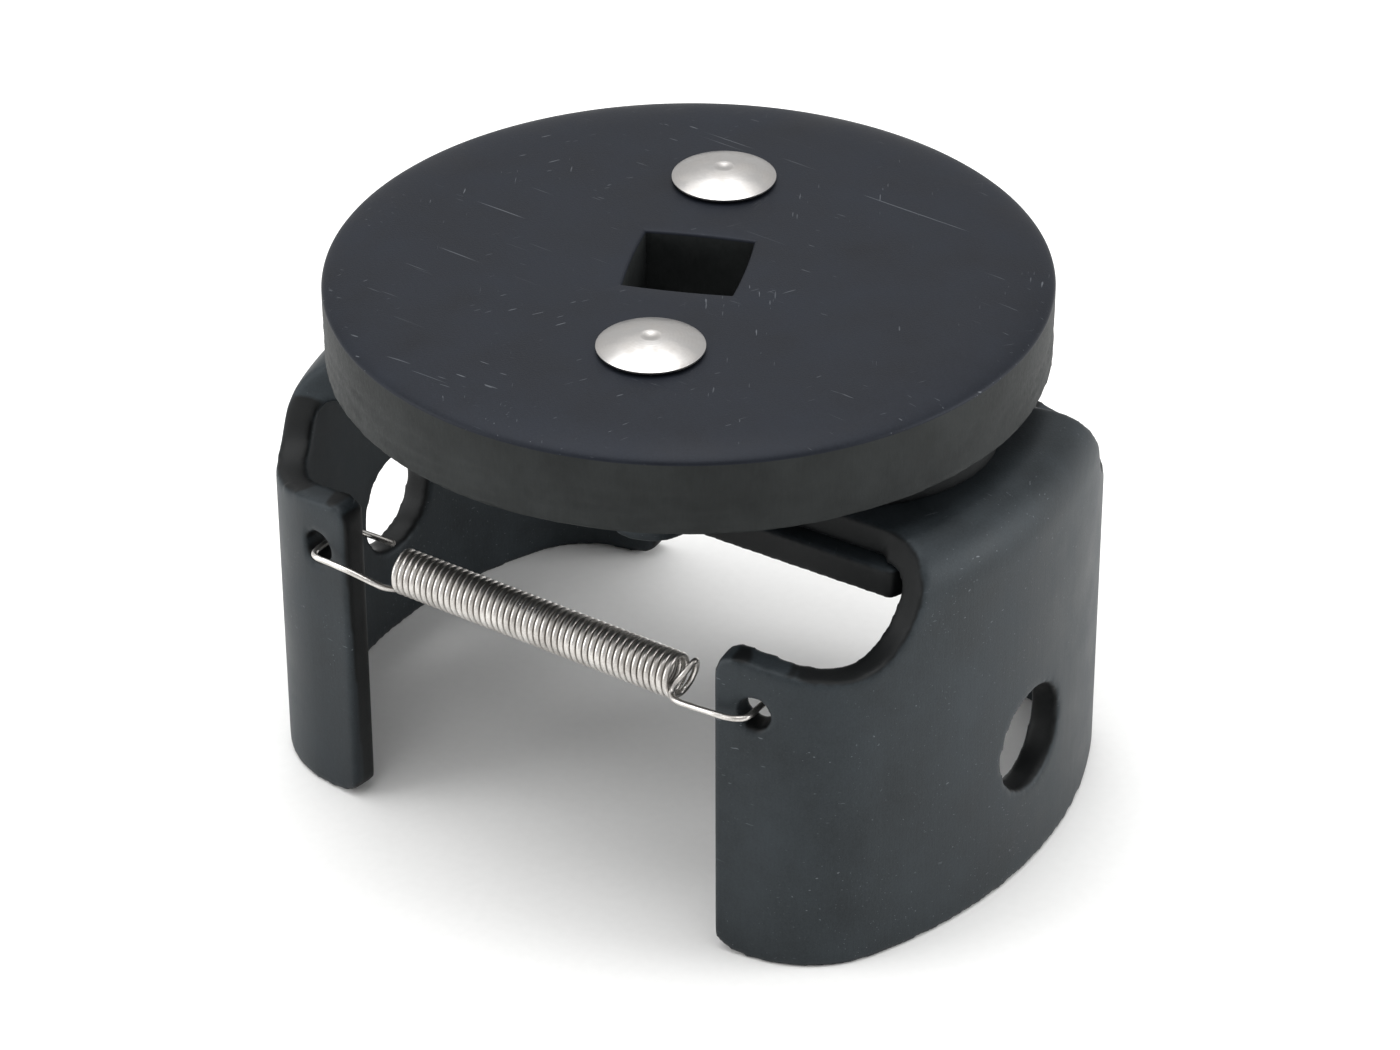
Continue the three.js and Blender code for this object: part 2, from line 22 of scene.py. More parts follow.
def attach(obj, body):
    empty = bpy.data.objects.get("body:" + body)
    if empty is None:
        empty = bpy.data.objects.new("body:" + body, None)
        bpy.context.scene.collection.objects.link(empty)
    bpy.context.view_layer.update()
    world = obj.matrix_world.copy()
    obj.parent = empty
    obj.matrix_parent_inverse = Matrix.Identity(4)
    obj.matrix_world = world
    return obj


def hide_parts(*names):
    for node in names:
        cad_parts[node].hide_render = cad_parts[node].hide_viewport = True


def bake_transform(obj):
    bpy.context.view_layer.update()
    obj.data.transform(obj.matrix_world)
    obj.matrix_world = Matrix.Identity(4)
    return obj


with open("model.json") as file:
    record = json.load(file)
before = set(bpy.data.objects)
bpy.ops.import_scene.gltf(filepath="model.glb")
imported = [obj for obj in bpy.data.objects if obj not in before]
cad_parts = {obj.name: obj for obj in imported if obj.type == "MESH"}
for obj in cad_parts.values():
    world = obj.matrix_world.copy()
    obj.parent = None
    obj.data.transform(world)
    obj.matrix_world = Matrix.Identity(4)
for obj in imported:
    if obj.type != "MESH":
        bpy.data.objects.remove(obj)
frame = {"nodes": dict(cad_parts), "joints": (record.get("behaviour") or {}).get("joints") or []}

LOG = logging.getLogger("oil_filter_wrench")
MM = 0.001
SEED = 11
RIVET_OFFSET = 20.4
PLATE = 3.8
DISC_TOP = 66.0
WELD_DISTANCE = 0.001 * MM


class Slot(Enum):
    """The record's material slots."""

    DISC = "disc_steel"
    SPACER = "spacer_steel"
    RIVET = "rivet_steel"
    JAW = "jaw_steel"
    SPRING = "spring_steel"


class Face(Enum):
    """Which finish a face of the disc takes, as its material index."""

    ROLLED = 0
    SHEARED = 1


# --- Small helpers ------------------------------------------------------------------


def linear(hex_colour: str) -> tuple[float, float, float, float]:
    """Turns an sRGB hex colour to linear.

    Args:
        hex_colour: Six hex digits with a leading hash.

    Returns:
        Linear red, green and blue, and an alpha of 1.
    """
    channels = [int(hex_colour[i : i + 2], 16) / 255 for i in (1, 3, 5)]
    turned = [c / 12.92 if c <= 0.04045 else ((c + 0.055) / 1.055) ** 2.4 for c in channels]
    return (turned[0], turned[1], turned[2], 1.0)


def add_node(
    tree: bpy.types.NodeTree,
    kind: str,
    inputs: Optional[Mapping[Any, Any]] = None,
    **settings: Any,
) -> bpy.types.Node:
    """Adds one node with its settings, values and links.

    Args:
        tree: The shader or geometry tree that gets the node.
        kind: Blender's name of the node type.
        inputs: Input name or index to a value, or to the output socket that feeds it.
        **settings: The node's own properties.

    Returns:
        The new node.
    """
    node = tree.nodes.new(kind)
    for name, value in settings.items():
        setattr(node, name, value)
    for key, value in (inputs or {}).items():
        if isinstance(value, bpy.types.NodeSocket):
            tree.links.new(value, node.inputs[key])
        else:
            node.inputs[key].default_value = value
    return node


def new_piece(name: str, mesh: bpy.types.Mesh) -> bpy.types.Object:
    """Puts a mesh in the scene as an object at the origin.

    Args:
        name: The piece's name.
        mesh: Its mesh, in metres, in the row frame.

    Returns:
        The new object.
    """
    piece = bpy.data.objects.new(name, mesh)
    bpy.context.scene.collection.objects.link(piece)
    return piece


def plain_mesh(piece: bpy.types.Object) -> bpy.types.Mesh:
    """Returns the evaluated mesh of a piece as plain data and takes its modifiers off."""
    depsgraph = bpy.context.evaluated_depsgraph_get()
    mesh = bpy.data.meshes.new_from_object(
        piece.evaluated_get(depsgraph), preserve_all_data_layers=True, depsgraph=depsgraph
    )
    piece.modifiers.clear()
    mesh.name = piece.name
    return mesh


def report(piece: bpy.types.Object) -> None:
    """Logs a finished piece with its number of triangles."""
    triangles = sum(len(polygon.vertices) - 2 for polygon in piece.data.polygons)
    LOG.info("%s: %d triangles", piece.name, triangles)


# --- Finishes -----------------------------------------------------------------------


class FinishTree:
    """A material's node tree while it is being laid out, with coordinates in millimetres."""

    def __init__(self, name: str) -> None:
        """Starts an empty material.

        Args:
            name: The material's name.
        """
        self.material = bpy.data.materials.new(name)
        self.material.use_nodes = True
        self.tree = self.material.node_tree
        self.tree.nodes.clear()
        self.place = add_node(self.tree, "ShaderNodeTexCoord").outputs["Object"]

    def coords(self, stretch: Sequence[float] = (1, 1, 1), turn: Sequence[float] = (0, 0, 0)) -> Any:
        """Object coordinates in millimetres, stretched and turned.

        Args:
            stretch: How many times longer the pattern is along each turned axis.
            turn: Euler angles in degrees, by which the pattern is turned.

        Returns:
            The vector socket.
        """
        turned = add_node(
            self.tree,
            "ShaderNodeVectorRotate",
            {"Vector": self.place, "Rotation": [math.radians(a) for a in turn]},
            rotation_type="EULER_XYZ",
        )
        scale = [1 / MM / s for s in stretch]
        return add_node(
            self.tree, "ShaderNodeMapping", {"Vector": turned.outputs[0], "Scale": scale}
        ).outputs[0]

    def noise(self, vector: Any, size: float, detail: float = 2.0, roughness: float = 0.5) -> Any:
        """Noise whose features are about size millimetres wide."""
        return add_node(
            self.tree,
            "ShaderNodeTexNoise",
            {"Vector": vector, "Scale": 1 / size, "Detail": detail, "Roughness": roughness},
        ).outputs["Fac"]

    def ranged(self, value: Any, low: float, high: float, to_low: float = 0.0, to_high: float = 1.0) -> Any:
        """Maps value from low..high to to_low..to_high, held at both ends."""
        return add_node(
            self.tree,
            "ShaderNodeMapRange",
            {"Value": value, "From Min": low, "From Max": high, "To Min": to_low, "To Max": to_high},
        ).outputs[0]

    def math(self, operation: str, first: Any, second: Any = 0.0, clamp: bool = False) -> Any:
        """One arithmetic step."""
        return add_node(
            self.tree, "ShaderNodeMath", {0: first, 1: second}, operation=operation, use_clamp=clamp
        ).outputs[0]

    def blended(self, share: Any, first: Any, second: Any) -> Any:
        """A colour that goes from first to second with share."""
        return add_node(
            self.tree, "ShaderNodeMix", {0: share, 6: first, 7: second}, data_type="RGBA"
        ).outputs[2]

    def scratches(self, turn: Sequence[float], length: float, width: float, share: float) -> Any:
        """Hair scratches along one direction, in loose patches.

        Args:
            turn: Euler angles in degrees of the direction.
            length: Their usual length.
            width: Their width.
            share: From 0 to 1, how many there are.

        Returns:
            A socket that is 1 on a scratch and 0 beside it.
        """
        lines = self.noise(self.coords((length / width, 1, 1), turn), width * 2.2, 1.0)
        edge = 0.80 - 0.10 * share
        patches = self.noise(self.coords(turn=turn), 17.0, 2.0)
        return self.math("MULTIPLY", self.ranged(lines, edge, edge + 0.03), self.ranged(patches, 0.5, 0.62))

    def specks(self, spacing: float, radius: float, share: float) -> Any:
        """Small round marks.

        Args:
            spacing: The mean distance between places where a mark may be.
            radius: A mark's radius.
            share: The share of the places that have one.

        Returns:
            A socket that is 1 on a mark and 0 beside it.
        """
        cells = add_node(self.tree, "ShaderNodeTexVoronoi", {"Vector": self.coords(), "Scale": 1 / spacing})
        near = self.ranged(cells.outputs["Distance"], radius / spacing, 0.4 * radius / spacing)
        chosen = self.math("GREATER_THAN", cells.outputs["Color"], 1 - share)
        return self.math("MULTIPLY", near, chosen)

    def bump(self, height: Any, depth: float) -> Any:
        """A bump whose full height is depth millimetres."""
        return add_node(
            self.tree, "ShaderNodeBump", {"Height": height, "Distance": depth * MM, "Strength": 1.0}
        ).outputs[0]

    def finish(self, inputs: Mapping[str, Any]) -> bpy.types.Material:
        """Closes the tree with a Principled shader.

        Args:
            inputs: The shader's inputs, as values or sockets.

        Returns:
            The finished material.
        """
        shader = add_node(self.tree, "ShaderNodeBsdfPrincipled", inputs)
        add_node(self.tree, "ShaderNodeOutputMaterial", {"Surface": shader.outputs[0]})
        return self.material


@dataclass(frozen=True)
class BlackOxidePlate:
    """Hot-rolled mild steel, hot black-oxided and lightly oiled.

    The oxide is a blue-black skin a micrometre thick: a dull, half-metallic dark, with the
    rolled grain showing through it, cloudy patches of oil, and pale hair scratches and specks.
    """

    name: str
    deep: str
    pale: str
    roughness: float = 0.5
    metallic: float = 0.35
    gloss: float = 0.3
    grain_turn: tuple[float, float, float] = (0, 0, 62)
    grain_share: float = 0.1
    scratch: str = "#8b9096"
    scratch_strength: float = 0.3
    scratch_share: float = 0.55
    speck_share: float = 0.12
    cut_deep: Optional[str] = None

    def build(self) -> bpy.types.Material:
        """Builds the material."""
        tree = FinishTree(self.name)
        clouds = tree.noise(tree.coords(), 11.0, 5.0, 0.6)
        # Rolled grain is about 0.15 mm across; drawn at 0.3 mm so that it shows.
        grain = tree.noise(tree.coords((10, 1, 1), self.grain_turn), 0.3, 3.0, 0.6)
        tooth = tree.noise(tree.coords(), 0.26, 3.0, 0.7)
        tone = tree.math("MULTIPLY", clouds, 0.72 - self.grain_share)
        tone = tree.math("ADD", tone, tree.math("MULTIPLY", grain, self.grain_share))
        tone = tree.math("ADD", tone, tree.math("MULTIPLY", tooth, 0.28))
        colour = tree.blended(tree.ranged(tone, 0.36, 0.64), linear(self.deep), linear(self.pale))
        marks = tree.scratches((0, 0, 25), 9.0, 0.16, self.scratch_share)
        for turn, length in (((10, 0, -40), 6.0), ((0, 35, 80), 5.0), ((50, -20, 10), 7.0)):
            marks = tree.math("MAXIMUM", marks, tree.scratches(turn, length, 0.14, self.scratch_share))
        dots = tree.specks(3.1, 0.14, self.speck_share)
        flaws = tree.math("MULTIPLY", tree.math("MAXIMUM", marks, dots), self.scratch_strength)
        colour = tree.blended(flaws, colour, linear(self.scratch))
        if self.cut_deep:
            cut = add_node(tree.tree, "ShaderNodeAttribute", attribute_name="cut").outputs["Fac"]
            colour = tree.blended(tree.ranged(cut, 0.25, 0.75), colour, linear(self.cut_deep))
        shine = tree.ranged(clouds, 0.35, 0.65, self.roughness - 0.05, self.roughness + 0.06)
        relief = tree.math("ADD", tree.math("MULTIPLY", grain, 0.3), tree.math("MULTIPLY", tooth, 0.7))
        return tree.finish(
            {
                "Base Color": colour,
                "Metallic": self.metallic,
                "Roughness": shine,
                "Specular IOR Level": self.gloss,
                "Normal": tree.bump(relief, 0.025),
            }
        )


@dataclass(frozen=True)
class ShearedSteel:
    """The cut edge of a blanked plate, black-oxided with the rest.

    The punch leaves fine streaks along its stroke and a torn, matt, darker band.
    """

    name: str
    deep: str
    pale: str
    roughness: float = 0.62
    metallic: float = 0.25
    gloss: float = 0.3
    streak_depth: float = 0.03

    def build(self) -> bpy.types.Material:
        """Builds the material."""
        tree = FinishTree(self.name)
        streaks = tree.noise(tree.coords((1, 1, 5)), 0.4, 3.0, 0.6)
        torn = tree.noise(tree.coords((1, 1, 1.4)), 0.45, 4.0, 0.7)
        clouds = tree.noise(tree.coords(), 6.0, 3.0)
        tone = tree.math("ADD", tree.math("MULTIPLY", streaks, 0.15), tree.math("MULTIPLY", torn, 0.35))
        tone = tree.math("ADD", tone, tree.math("MULTIPLY", clouds, 0.5))
        colour = tree.blended(tree.ranged(tone, 0.38, 0.62), linear(self.deep), linear(self.pale))
        dots = tree.math("MULTIPLY", tree.specks(2.6, 0.11, 0.12), 0.4)
        colour = tree.blended(dots, colour, linear("#9a9a94"))
        relief = tree.math("ADD", tree.math("MULTIPLY", streaks, 0.3), tree.math("MULTIPLY", torn, 0.7))
        return tree.finish(
            {
                "Base Color": colour,
                "Metallic": self.metallic,
                "Roughness": tree.ranged(torn, 0.3, 0.7, self.roughness - 0.06, self.roughness + 0.08),
                "Specular IOR Level": self.gloss,
                "Normal": tree.bump(relief, self.streak_depth),
            }
        )


@dataclass(frozen=True)
class RivetSteel:
    """Bright mild-steel rivet head, spun over by an orbiting tool.

    Clean grey-white metal with faint rings from the tool, and a few handling marks.
    """

    name: str = "spun_rivet_steel"
    light: str = "#c2c0be"
    dull: str = "#b0adaa"
    roughness: float = 0.34
    ring_spacing: float = 0.42

    def build(self) -> bpy.types.Material:
        """Builds the material."""
        tree = FinishTree(self.name)
        place = add_node(tree.tree, "ShaderNodeAttribute", attribute_name="rivet_place").outputs["Vector"]
        flat = add_node(
            tree.tree, "ShaderNodeVectorMath", {0: place, 1: (1 / MM, 1 / MM, 0)}, operation="MULTIPLY"
        )
        radius = add_node(tree.tree, "ShaderNodeVectorMath", {0: flat.outputs[0]}, operation="LENGTH")
        around = tree.noise(tree.coords(), 3.0, 3.0)
        wobble = tree.math("MULTIPLY", around, 0.6)
        turns = tree.math("ADD", tree.math("DIVIDE", radius.outputs["Value"], self.ring_spacing), wobble)
        rings = tree.math("SINE", tree.math("MULTIPLY", turns, 2 * math.pi))
        rings = tree.ranged(rings, -1.0, 1.0)
        stained = tree.ranged(tree.noise(tree.coords(), 2.4, 3.0, 0.5), 0.4, 0.7)
        colour = tree.blended(stained, linear(self.light), linear(self.dull))
        nicks = tree.scratches((0, 0, 70), 3.0, 0.1, 0.6)
        return tree.finish(
            {
                "Base Color": tree.blended(tree.math("MULTIPLY", nicks, 0.5), colour, linear("#8d8984")),
                "Metallic": 1.0,
                "Roughness": tree.ranged(stained, 0.0, 1.0, self.roughness - 0.04, self.roughness + 0.12),
                "Normal": tree.bump(rings, 0.003),
            }
        )


@dataclass(frozen=True)
class SpringWire:
    """Hard-drawn music wire, bare and slightly oily.

    Grey bright metal with fine draw lines along the wire and darker oil between the turns.
    """

    name: str = "drawn_spring_wire"
    light: str = "#dad7d3"
    dull: str = "#aaa6a1"
    roughness: float = 0.30

    def build(self) -> bpy.types.Material:
        """Builds the material."""
        tree = FinishTree(self.name)
        oil = tree.noise(tree.coords(), 2.6, 3.0)
        drawn = tree.noise(tree.coords(), 0.16, 2.0, 0.6)
        tone = tree.math("ADD", tree.math("MULTIPLY", oil, 0.6), tree.math("MULTIPLY", drawn, 0.4))
        return tree.finish(
            {
                "Base Color": tree.blended(
                    tree.ranged(tone, 0.36, 0.66), linear(self.light), linear(self.dull)
                ),
                "Metallic": 1.0,
                "Roughness": tree.ranged(tone, 0.3, 0.7, self.roughness - 0.05, self.roughness + 0.1),
                "Normal": tree.bump(drawn, 0.004),
            }
        )


@dataclass(frozen=True)
class PaperFloor:
    """Seamless white studio paper, matt and even."""

    name: str = "studio_paper"
    colour: str = "#f4f4f3"

    def build(self) -> bpy.types.Material:
        """Builds the material."""
        tree = FinishTree(self.name)
        fibre = tree.noise(tree.coords(), 1.2, 2.0)
        shade = tree.blended(fibre, linear(self.colour), linear("#efefee"))
        return tree.finish({"Base Color": shade, "Roughness": 0.9})


@dataclass(frozen=True)
class Finishes:
    """Every finish that the wrench has, built once."""

    disc: bpy.types.Material
    disc_side: bpy.types.Material
    jaw: bpy.types.Material
    spacer: bpy.types.Material
    rivet: bpy.types.Material
    spring: bpy.types.Material

    @classmethod
    def made(cls) -> "Finishes":
        """Builds all of them."""
        return cls(
            disc=BlackOxidePlate("black_oxide_disc", "#13161d", "#1d2129", gloss=0.22).build(),
            disc_side=ShearedSteel("sheared_disc_side", "#151818", "#232626").build(),
            jaw=BlackOxidePlate(
                "black_oxide_jaw", "#1e2326", "#2e3438", grain_turn=(0, 90, 0), cut_deep="#0f1112"
            ).build(),
            spacer=BlackOxidePlate(
                "black_oxide_spacer", "#1b1d1f", "#26282a", roughness=0.6, cut_deep="#161819"
            ).build(),
            rivet=RivetSteel().build(),
            spring=SpringWire().build(),
        )


# --- Geometry Nodes trees -----------------------------------------------------------


class NodesModifier:
    """A Geometry Nodes tree with named inputs, and the modifier that runs it."""

    def __init__(self, name: str, inputs: Mapping[str, str]) -> None:
        """Starts a tree.

        Args:
            name: The tree's name.
            inputs: Input name to socket type, after the geometry.
        """
        self.tree = bpy.data.node_groups.new(name, "GeometryNodeTree")
        face = self.tree.interface
        face.new_socket("Geometry", in_out="INPUT", socket_type="NodeSocketGeometry")
        face.new_socket("Geometry", in_out="OUTPUT", socket_type="NodeSocketGeometry")
        self.identifiers = {
            label: face.new_socket(label, in_out="INPUT", socket_type=kind).identifier
            for label, kind in inputs.items()
        }
        self.source = add_node(self.tree, "NodeGroupInput").outputs

    def close(self, geometry: Any) -> None:
        """Ends the tree in Realize Instances and Set Material."""
        real = add_node(self.tree, "GeometryNodeRealizeInstances", {"Geometry": geometry})
        dressed = add_node(
            self.tree,
            "GeometryNodeSetMaterial",
            {"Geometry": real.outputs[0], "Material": self.source["Material"]},
        )
        add_node(self.tree, "NodeGroupOutput", {0: dressed.outputs[0]})

    def run(self, piece: bpy.types.Object, values: Mapping[str, Any]) -> None:
        """Puts the tree on a piece and turns the result into the piece's plain mesh.

        Args:
            piece: The object whose mesh feeds the tree.
            values: Input name to value.
        """
        modifier = piece.modifiers.new(self.tree.name, "NODES")
        modifier.node_group = self.tree
        for label, value in values.items():
            modifier[self.identifiers[label]] = value
        piece.data.update()
        mesh = plain_mesh(piece)
        piece.data = mesh


def wire_tree() -> NodesModifier:
    """A tree that sweeps a round wire along the edges of a mesh path."""
    nodes = NodesModifier(
        "wire_along_path",
        {
            "Wire Radius": "NodeSocketFloat",
            "Sides": "NodeSocketInt",
            "Material": "NodeSocketMaterial",
        },
    )
    path = add_node(nodes.tree, "GeometryNodeMeshToCurve", {"Mesh": nodes.source["Geometry"]})
    section = add_node(
        nodes.tree,
        "GeometryNodeCurvePrimitiveCircle",
        {"Resolution": nodes.source["Sides"], "Radius": nodes.source["Wire Radius"]},
    )
    swept = add_node(
        nodes.tree,
        "GeometryNodeCurveToMesh",
        {"Curve": path.outputs[0], "Profile Curve": section.outputs[0], "Fill Caps": True},
    )
    smooth = add_node(nodes.tree, "GeometryNodeSetShadeSmooth", {"Geometry": swept.outputs[0]})
    nodes.close(smooth.outputs[0])
    return nodes


# --- Meshes -------------------------------------------------------------------------


def closed_loft(rings: Sequence[np.ndarray], name: str) -> bpy.types.Mesh:
    """Joins rings of equal count into a closed tube, last ring back to the first.

    Args:
        rings: Arrays of points in metres, each ring going the same way round.
        name: The mesh's name.

    Returns:
        The mesh, faces outward.
    """
    count = len(rings[0])
    points = np.concatenate(rings)
    faces = []
    for ring in range(len(rings)):
        low, high = ring * count, (ring + 1) % len(rings) * count
        for i in range(count):
            j = (i + 1) % count
            faces.append((low + i, low + j, high + j, high + i))
    mesh = bpy.data.meshes.new(name)
    mesh.from_pydata([tuple(p) for p in points], [], faces)
    return outward(mesh)


def outward(mesh: bpy.types.Mesh) -> bpy.types.Mesh:
    """Points all faces of a closed mesh outward."""
    work = bmesh.new()
    work.from_mesh(mesh)
    bmesh.ops.recalc_face_normals(work, faces=work.faces)
    work.to_mesh(mesh)
    work.free()
    return mesh


def turned(profile: Sequence[tuple[float, float]], steps: int, name: str) -> bpy.types.Mesh:
    """Turns a profile of (radius, height) in millimetres about the Z axis.

    Args:
        profile: Points from the axis round to the axis again.
        steps: Steps round the axis.
        name: The mesh's name.

    Returns:
        The closed mesh.
    """
    work = bmesh.new()
    line = [work.verts.new((r * MM, 0, z * MM)) for r, z in profile]
    edges = [work.edges.new(pair) for pair in zip(line, line[1:])]
    bmesh.ops.spin(
        work, geom=[*line, *edges], axis=(0, 0, 1), cent=(0, 0, 0), angle=2 * math.pi, steps=steps
    )
    bmesh.ops.remove_doubles(work, verts=work.verts, dist=1e-7)
    bmesh.ops.recalc_face_normals(work, faces=work.faces)
    mesh = bpy.data.meshes.new(name)
    work.to_mesh(mesh)
    work.free()
    return mesh


def smooth_normals(piece: bpy.types.Object) -> None:
    """Shades a piece smooth, with wide flat faces kept flat by weighted normals."""
    piece.data.shade_smooth()
    modifier = piece.modifiers.new("weighted", "WEIGHTED_NORMAL")
    modifier.weight = 100
    modifier.keep_sharp = True
    piece.data = plain_mesh(piece)


def catmull_rom(points: Sequence[Vector], steps: int) -> list[Vector]:
    """A smooth line through points.

    Args:
        points: Points that the line goes through.
        steps: Steps between one point and the next.

    Returns:
        The points of the line.
    """
    held = [points[0] * 2 - points[1], *points, points[-1] * 2 - points[-2]]
    line = []
    for a, b, c, d in zip(held, held[1:], held[2:], held[3:]):
        for i in range(steps):
            t = i / steps
            square = 2 * a - 5 * b + 4 * c - d
            cube = 3 * b - a - 3 * c + d
            line.append(0.5 * (2 * b + (c - a) * t + square * t**2 + cube * t**3))
    line.append(points[-1].copy())
    return line


# --- The wrench's pieces ------------------------------------------------------------


@dataclass
class PressedPlate:
    """A plate pressed from sheet, made from its CAD node with worn edges and cut faces marked."""

    node: str
    body: str
    slot: Slot
    thickness: float
    grid: float = 0.45
    wear_steps: int = 12
    blend_steps: int = 2

    def merged(self) -> bpy.types.Mesh:
        """A copy of the node's mesh with its loose triangles joined into whole faces."""
        mesh = frame["nodes"][self.node].data.copy()
        mesh.materials.clear()
        work = bmesh.new()
        work.from_mesh(mesh)
        bmesh.ops.remove_doubles(work, verts=work.verts, dist=WELD_DISTANCE)
        work.to_mesh(mesh)
        work.free()
        return mesh

    def cut_share(self, mesh: bpy.types.Mesh, places: np.ndarray) -> np.ndarray:
        """Finds where the plate was cut.

        A rolled face has the other rolled face one thickness behind it, and a cut face has not.

        Args:
            mesh: The plate's mesh with its flat faces.
            places: Points on the worn surface.

        Returns:
            For each point 1 on a cut face and 0 on a rolled one.
        """
        work = bmesh.new()
        work.from_mesh(mesh)
        work.faces.ensure_lookup_table()
        tree = BVHTree.FromBMesh(work)
        cut = []
        for face in work.faces:
            middle = face.calc_center_median_weighted()
            hit = tree.ray_cast(middle - face.normal * 0.02 * MM, -face.normal)
            cut.append(hit[0] is None or hit[3] > 1.6 * self.thickness * MM)
        nearest = [tree.find_nearest(Vector(place))[2] for place in places]
        work.free()
        return np.array([1.0 if cut[index] else 0.0 for index in nearest])

    def mark_cut(self, source: bpy.types.Mesh, worn: bpy.types.Mesh) -> None:
        """Stores on the worn mesh how far each point lies on a cut face, softened at edges."""
        places = np.empty(len(worn.vertices) * 3)
        worn.vertices.foreach_get("co", places)
        share = self.cut_share(source, places.reshape(-1, 3))
        ends = np.empty(len(worn.edges) * 2, dtype=np.int64)
        worn.edges.foreach_get("vertices", ends)
        first, second = ends.reshape(-1, 2).T
        count = np.bincount(ends, minlength=len(share)).astype(float) + 1
        for _ in range(self.blend_steps):
            total = share.copy()
            np.add.at(total, first, share[second])
            np.add.at(total, second, share[first])
            share = total / count
        worn.attributes.new("cut", "FLOAT", "POINT").data.foreach_set("value", share)

    def build(self, finish: Any) -> bpy.types.Object:
        """Builds and dresses the plate.

        Args:
            finish: Its finish, which reads where the plate was cut.

        Returns:
            The piece, riding on its body.
        """
        source = self.merged()
        piece = new_piece(f"{self.node}_pressed", source)
        grid = piece.modifiers.new("grid", "REMESH")
        grid.mode = "VOXEL"
        grid.voxel_size = self.grid * MM
        grid.use_smooth_shade = True
        wear = piece.modifiers.new("wear", "SMOOTH")
        wear.factor = 0.5
        wear.iterations = self.wear_steps
        worn = plain_mesh(piece)
        self.mark_cut(source, worn)
        piece.data = worn
        worn.materials.clear()
        worn.materials.append(finish)
        worn.shade_smooth()
        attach(piece, self.body)
        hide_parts(self.node)
        report(piece)
        return piece


